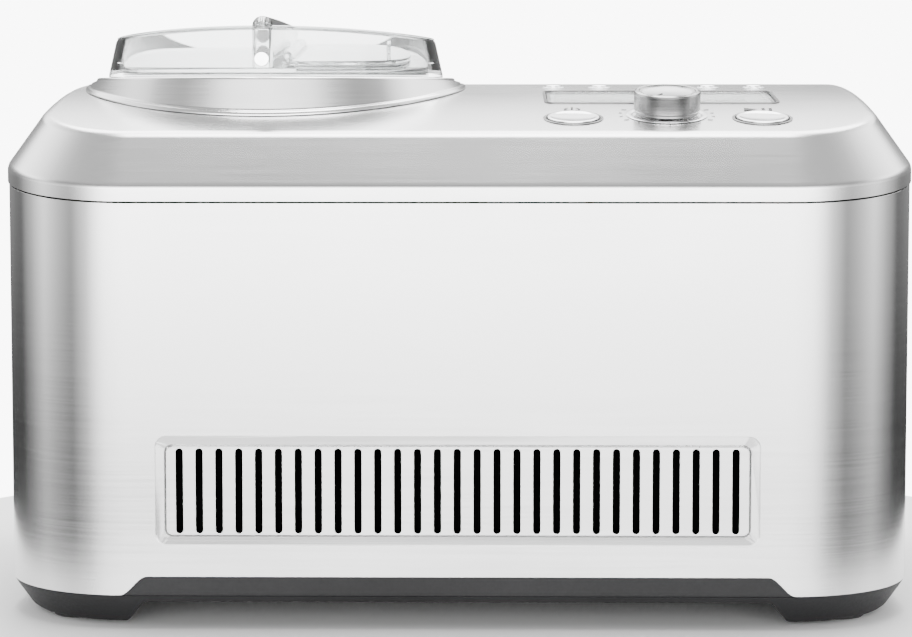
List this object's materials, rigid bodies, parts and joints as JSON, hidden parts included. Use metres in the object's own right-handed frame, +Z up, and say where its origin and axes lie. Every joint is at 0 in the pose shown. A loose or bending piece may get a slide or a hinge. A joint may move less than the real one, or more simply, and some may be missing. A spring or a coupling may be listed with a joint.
{
  "type": "ice cream maker",
  "caption": "Countertop ice cream maker with built-in compressor: steel box, lift-out bowl with paddle under a clear lid, sloped control deck.",
  "frame": {"origin": "on the worktop under the middle of the housing", "axes": "+Z up, the front with the controls faces -Y, +X is the right-hand side seen from the front"},
  "size_m": [0.4132, 0.2872, 0.274],
  "materials": {
    "brushed_steel": "horizontally brushed stainless steel",
    "silver_cover": "satin silver",
    "satin_aluminium": "satin aluminium",
    "clear_plastic": "clear, polished",
    "display_lens": "clear, polished",
    "dark_plastic": "fine grained, dark grey",
    "white_plastic": "smooth white",
    "black_rubber": "dull black",
    "zinc_steel": "zinc grey",
    "copper_tube": "dull copper",
    "compressor_black": "black enamel",
    "foam": "cut foam",
    "circuit_board": "green laminate"
  },
  "bodies": {
    "housing": {"base_pan": "dark_plastic", "body_wrap": "brushed_steel", "bowl_collar": "satin_aluminium", "chassis_plate": "zinc_steel", "compressor": "compressor_black", "compressor_mount_1": "black_rubber", "compressor_mount_2": "black_rubber", "compressor_mount_3": "black_rubber", "compressor_mount_4": "black_rubber", "condenser": "zinc_steel", "control_board": "circuit_board", "cord_gland": "black_rubber", "dial_encoder": "dark_plastic", "display_module": "dark_plastic", "display_window": "display_lens", "drive_belt": "black_rubber", "evaporator_coil": "copper_tube", "evaporator_well": "satin_aluminium", "fan_motor": "zinc_steel", "fan_shroud": "dark_plastic", "front_left_foot": "black_rubber", "front_right_foot": "black_rubber", "front_vent_panel": "brushed_steel", "gear_motor": "zinc_steel", "insulation": "foam", "left_vent_panel": "brushed_steel", "lower_bearing": "zinc_steel", "power_board": "circuit_board", "rear_left_foot": "black_rubber", "rear_panel": "zinc_steel", "rear_right_foot": "black_rubber", "rear_screw_1": "zinc_steel", "rear_screw_2": "zinc_steel", "rear_screw_3": "zinc_steel", "rear_screw_4": "zinc_steel", "right_vent_panel": "brushed_steel", "spindle_seal": "black_rubber", "suction_pipe": "copper_tube", "top_cover": "silver_cover", "upper_bearing": "zinc_steel", "well_stand": "zinc_steel"},
    "bowl": {"bowl": "satin_aluminium"},
    "agitator_drive": {"bowl_shaft": "white_plastic"},
    "agitator": {"paddle": "white_plastic"},
    "lid_body": {"lid": "clear_plastic", "lid_seal": "white_plastic", "flap_hinge_pin": "brushed_steel"},
    "flap": {"mix_in_flap": "clear_plastic"},
    "spindle": {"drive_spindle": "zinc_steel", "spindle_pulley": "zinc_steel"},
    "motor_drive": {"motor_pulley": "satin_aluminium"},
    "fan": {"fan_rotor": "dark_plastic"},
    "dial": {"dial_knob": "satin_aluminium", "dial_shaft": "zinc_steel"},
    "power": {"power_button": "satin_aluminium"},
    "start": {"start_button": "satin_aluminium"},
    "key_1": {"function_key_1": "satin_aluminium"},
    "key_2": {"function_key_2": "satin_aluminium"},
    "key_3": {"function_key_3": "satin_aluminium"},
    "key_4": {"function_key_4": "satin_aluminium"}
  },
  "joints": [
    {"name": "bowl_lift", "type": "slide", "parent": "housing", "child": "bowl", "axis": [0, 0, 1], "range_m": [0, 0.14]},
    {"name": "lid_lift", "type": "slide", "parent": "bowl", "child": "lid_body", "axis": [0, 0, 1], "range_m": [0, 0.12]},
    {"name": "flap_swing", "type": "hinge", "parent": "lid_body", "child": "flap", "pos_m": [-0.0816, -0.004, 0.2506], "axis": [0, -1, 0], "range_deg": [0, 95]},
    {"name": "spindle_spin", "type": "hinge", "parent": "housing", "child": "spindle", "pos_m": [-0.0902, -0.004, 0.06], "axis": [0, 0, 1], "continuous": true},
    {"name": "agitator_spin", "type": "hinge", "parent": "bowl", "child": "agitator_drive", "pos_m": [-0.0902, -0.004, 0.115], "axis": [0, 0, 1], "continuous": true},
    {"name": "agitator_lift", "type": "slide", "parent": "agitator_drive", "child": "agitator", "axis": [0, 0, 1], "range_m": [0, 0.012]},
    {"name": "motor_spin", "type": "hinge", "parent": "housing", "child": "motor_drive", "pos_m": [0.00526, 0.06536, 0.06], "axis": [0, 0, 1], "continuous": true},
    {"name": "fan_spin", "type": "hinge", "parent": "housing", "child": "fan", "pos_m": [0.1, -0.0895, 0.083], "axis": [0, 1, 0], "continuous": true},
    {"name": "dial_turn", "type": "hinge", "parent": "housing", "child": "dial", "pos_m": [0.0945, -0.0936, 0.22623], "axis": [0, -0.2, 0.9798], "continuous": true},
    {"name": "power_press", "type": "slide", "parent": "housing", "child": "power", "axis": [0, 0.2098, -0.9777], "range_m": [0, 0.001], "stiffness_N_per_m": 500},
    {"name": "start_press", "type": "slide", "parent": "housing", "child": "start", "axis": [0, 0.2098, -0.9777], "range_m": [0, 0.001], "stiffness_N_per_m": 500},
    {"name": "key_1_press", "type": "slide", "parent": "housing", "child": "key_1", "axis": [0, 0.074, -0.9973], "range_m": [0, 0.0008], "stiffness_N_per_m": 300},
    {"name": "key_2_press", "type": "slide", "parent": "housing", "child": "key_2", "axis": [0, 0.074, -0.9973], "range_m": [0, 0.0008], "stiffness_N_per_m": 300},
    {"name": "key_3_press", "type": "slide", "parent": "housing", "child": "key_3", "axis": [0, 0.074, -0.9973], "range_m": [0, 0.0008], "stiffness_N_per_m": 300},
    {"name": "key_4_press", "type": "slide", "parent": "housing", "child": "key_4", "axis": [0, 0.074, -0.9973], "range_m": [0, 0.0008], "stiffness_N_per_m": 300}
  ],
  "couplings": [
    {"joint": "agitator_spin", "follows": "spindle_spin", "ratio": 1},
    {"joint": "motor_spin", "follows": "spindle_spin", "ratio": 3.5}
  ]
}
